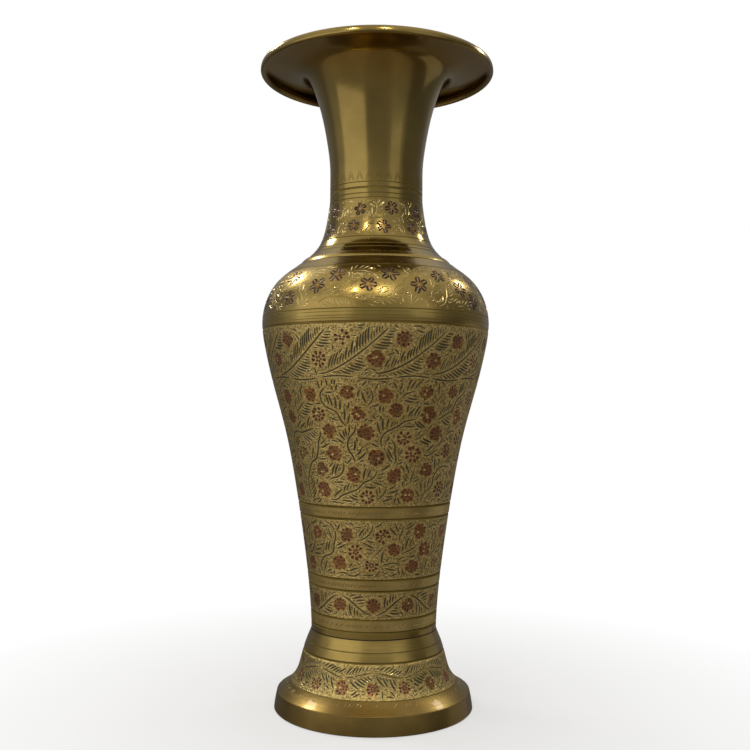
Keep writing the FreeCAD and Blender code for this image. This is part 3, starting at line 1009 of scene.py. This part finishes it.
def leather(name, pale, dark):
    """Dark oiled leather of the washers."""
    material, tree = new_material(name)
    grain = ramp(tree, noise(tree, 400, 5), (0.3, dark), (0.7, pale))
    shader = node(tree, "BsdfPrincipled", Base_Color=grain, Roughness=0.7)
    node(tree, "OutputMaterial", Surface=shader.outputs["BSDF"])
    return material


# pale and dark tone, least and greatest roughness
polished = brass("polished_brass", (0.52, 0.366, 0.100), (0.36, 0.247, 0.058), 0.20, 0.34, varnish=0.45)
burnished = brass("burnished_brass", (0.425, 0.299, 0.081), (0.318, 0.219, 0.053), 0.15, 0.21, varnish=0.45)
# painted shade: a darker copy of the polished brass for the foot's ledge, which faces up into the overhead
# light, and for the foot's hoop
shaded_brass = brass("worn_brass", (0.35, 0.232, 0.062), (0.22, 0.140, 0.034), 0.26, 0.42, varnish=0.25)
bright_cut = brass("bright_cut", (0.90, 0.70, 0.32), (0.68, 0.52, 0.22), 0.16, 0.28)
grooved = brass("dark_groove", (0.33, 0.250, 0.066), (0.22, 0.165, 0.042), 0.62, 0.78)
matted = brass("matted_ground", (1.0, 0.76, 0.31), (0.44, 0.315, 0.098), 0.28, 0.42,
               relief=0.8, grain=STIPPLED)
# painted shade: a darker copy of the matted ground for the foot, which the lights would otherwise show too
# bright
dull_ground = brass("dull_ground", (0.82, 0.62, 0.24), (0.38, 0.272, 0.085), 0.28, 0.42,
                    relief=0.8, grain=STIPPLED)
planished = brass("planished_brass", (0.72, 0.535, 0.20), (0.58, 0.425, 0.150), 0.34, 0.46,
                  relief=0.15, grain=(90, 4))
stained = brass("stained_bed", (0.52, 0.225, 0.080), (0.30, 0.185, 0.070), 0.34, 0.48,
                relief=0.5, grain=(55, 6))
# colour, deep colour, brass along the edge, shares of the depth where lac begins and where it covers
olive_lac = lac("olive_lac", (0.125, 0.104, 0.032), (0.058, 0.049, 0.015), (0.84, 0.63, 0.25), 0.10, 0.32)
red_lac = lac("red_lac", (0.180, 0.044, 0.016), (0.066, 0.026, 0.012), (0.56, 0.33, 0.13), 0.04, 0.24)
dark_lac = lac("dark_red_lac", (0.066, 0.020, 0.009), (0.022, 0.010, 0.005), (0.34, 0.19, 0.07), 0.0, 0.14)
washer_leather = leather("oiled_leather", (0.09, 0.05, 0.028), (0.03, 0.018, 0.01))

# in the order of the slots' names
BODY_SLOTS = (polished, matted, olive_lac, red_lac, grooved, stained, bright_cut, planished)
# the foot takes darker copies of the ground and of the plain brass: painted shade
FOOT_SLOTS = (polished, dull_ground, olive_lac, red_lac, grooved, stained, bright_cut, shaded_brass)
SHOULDER_SLOTS = (polished, polished, bright_cut, dark_lac, grooved)
NECK_SLOTS = (burnished, burnished, bright_cut, dark_lac, grooved)


# ---- the object ----
body_wall().finished(BODY_SLOTS)
shoulder_wall().finished(SHOULDER_SLOTS)
neck_wall().finished(NECK_SLOTS)
foot_wall().finished(FOOT_SLOTS)
# the hoop takes the darker brass, painted shade
Wall("foot_hoop").finished((shaded_brass,))
for washer in ("foot_washer", "neck_washer"):
    Wall(washer).finished((washer_leather,))
for name in ("foot_thread_ring", "body_thread_ring", "shoulder_thread_ring", "neck_thread_ring",
             "vessel_floor", "rim_wire"):
    finishes = frame["nodes"][name].data.materials
    finishes.clear()
    finishes.append(polished)


# ---- stage ----
def area_light(name, place, aim, size, power, colour):
    """A rectangular light at a place, turned to its aim."""
    lamp = bpy.data.lights.new(name, "AREA")
    lamp.shape = "RECTANGLE"
    lamp.size, lamp.size_y = size
    lamp.energy = power
    lamp.color = colour
    holder = put(name, lamp)
    holder.location = place
    holder.rotation_euler = (Vector(aim) - Vector(place)).to_track_quat("-Z", "Y").to_euler()


def room_colour(tree):
    """The dim room that the brass sees: walls that vary round the vase and upwards, and a ceiling."""
    way = node(tree, "TexCoord").outputs["Generated"]
    round_about = node(tree, "TexGradient", {"gradient_type": "RADIAL"}, Vector=way).outputs["Fac"]
    sides = ramp(tree, round_about, *ROOM_ROUND)
    up = node(tree, "SeparateXYZ", Vector=way).outputs["Z"]
    height = node(tree, "MapRange", From_Min=-1.0, Value=up).outputs["Result"]
    walls = node(tree, "Mix", {"data_type": "RGBA", "blend_type": "MULTIPLY"},
                 Factor=1.0, A=sides, B=ramp(tree, height, *ROOM_HEIGHT)).outputs["Result"]
    start, full = CEILING_FROM
    overhead = ramp(tree, height, (start, 0), (full, 1))
    whole = node(tree, "Mix", {"data_type": "RGBA"}, Factor=overhead, A=walls, B=(*CEILING, 1))
    return whole.outputs["Result"]


def room():
    """A pale room for the camera, and the dim one for everything else."""
    world = bpy.data.worlds.new("room")
    world.use_nodes = True
    tree = world.node_tree
    tree.nodes.clear()
    mirrored = node(tree, "Background", Color=room_colour(tree)).outputs["Background"]
    seen = node(tree, "Background", Color=(1, 1, 1, 1)).outputs["Background"]
    straight = node(tree, "LightPath").outputs["Is Camera Ray"]
    node(tree, "OutputWorld", Surface=shader_mix(tree, straight, mirrored, seen))
    bpy.context.scene.world = world


def floor():
    """A pale floor that takes the vase's shadow and melts into the pale room further out."""
    mesh = bpy.data.meshes.new("floor")
    mesh.from_pydata([(x * FLOOR_REACH, y * FLOOR_REACH, -FLOOR_DROP)
                      for x, y in ((-1, -1), (1, -1), (1, 1), (-1, 1))], [], [(0, 1, 2, 3)])
    plate = put("floor", mesh)
    material, tree = new_material("floor")
    place = node(tree, "TexCoord").outputs["Object"]
    outward = node(tree, "VectorMath", {"operation": "LENGTH"}, Vector=place).outputs["Value"]
    near, far = SHADOW_FADE
    fade = ramp(tree, outward, (near, 0.55), (far, 1))
    pale = node(tree, "BsdfDiffuse", Color=(0.9, 0.9, 0.9, 1)).outputs["BSDF"]
    glow = node(tree, "Emission").outputs["Emission"]
    node(tree, "OutputMaterial", Surface=shader_mix(tree, fade, pale, glow))
    mesh.materials.append(material)
    plate.visible_glossy = False
    plate.visible_diffuse = False


def camera():
    """A level camera, square on to the vase, with its lens shifted up."""
    data = bpy.data.cameras.new("camera")
    data.sensor_width = CAMERA_SENSOR
    data.lens = CAMERA_FOCAL
    data.shift_x, data.shift_y = CAMERA_SHIFT
    holder = put("camera", data)
    holder.location = (0, -CAMERA_DISTANCE, CAMERA_HEIGHT)
    holder.rotation_euler = (math.pi / 2, CAMERA_ROLL, 0)
    bpy.context.scene.camera = holder


room()
floor()
for light in LIGHTS:
    area_light(*light)
camera()
bpy.context.scene.view_settings.view_transform = "Standard"
